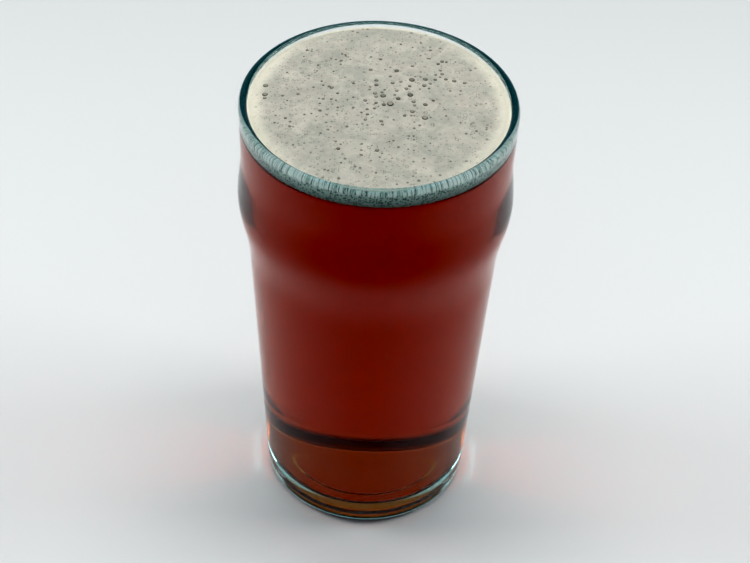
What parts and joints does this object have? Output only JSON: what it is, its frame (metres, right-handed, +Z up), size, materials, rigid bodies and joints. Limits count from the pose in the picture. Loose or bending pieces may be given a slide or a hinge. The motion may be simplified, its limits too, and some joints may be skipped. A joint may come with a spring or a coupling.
{
  "type": "pint of beer",
  "caption": "Bulged pint glass filled to the brim with dark red ale under a head of foam, standing on its foot ring.",
  "frame": {"origin": "on the table, under the middle of the foot", "axes": "+Z up along the axis of the glass"},
  "size_m": [0.084, 0.084, 0.152],
  "materials": {
    "glass": "clear soda-lime glass with a faint green tint, smooth and glossy",
    "beer": "clear dark red-brown liquid",
    "foam": "matt cream foam of fine bubbles with small open pores"
  },
  "bodies": {
    "root": {"glass": "glass", "beer": "beer", "foam": "foam"}
  },
  "joints": []
}
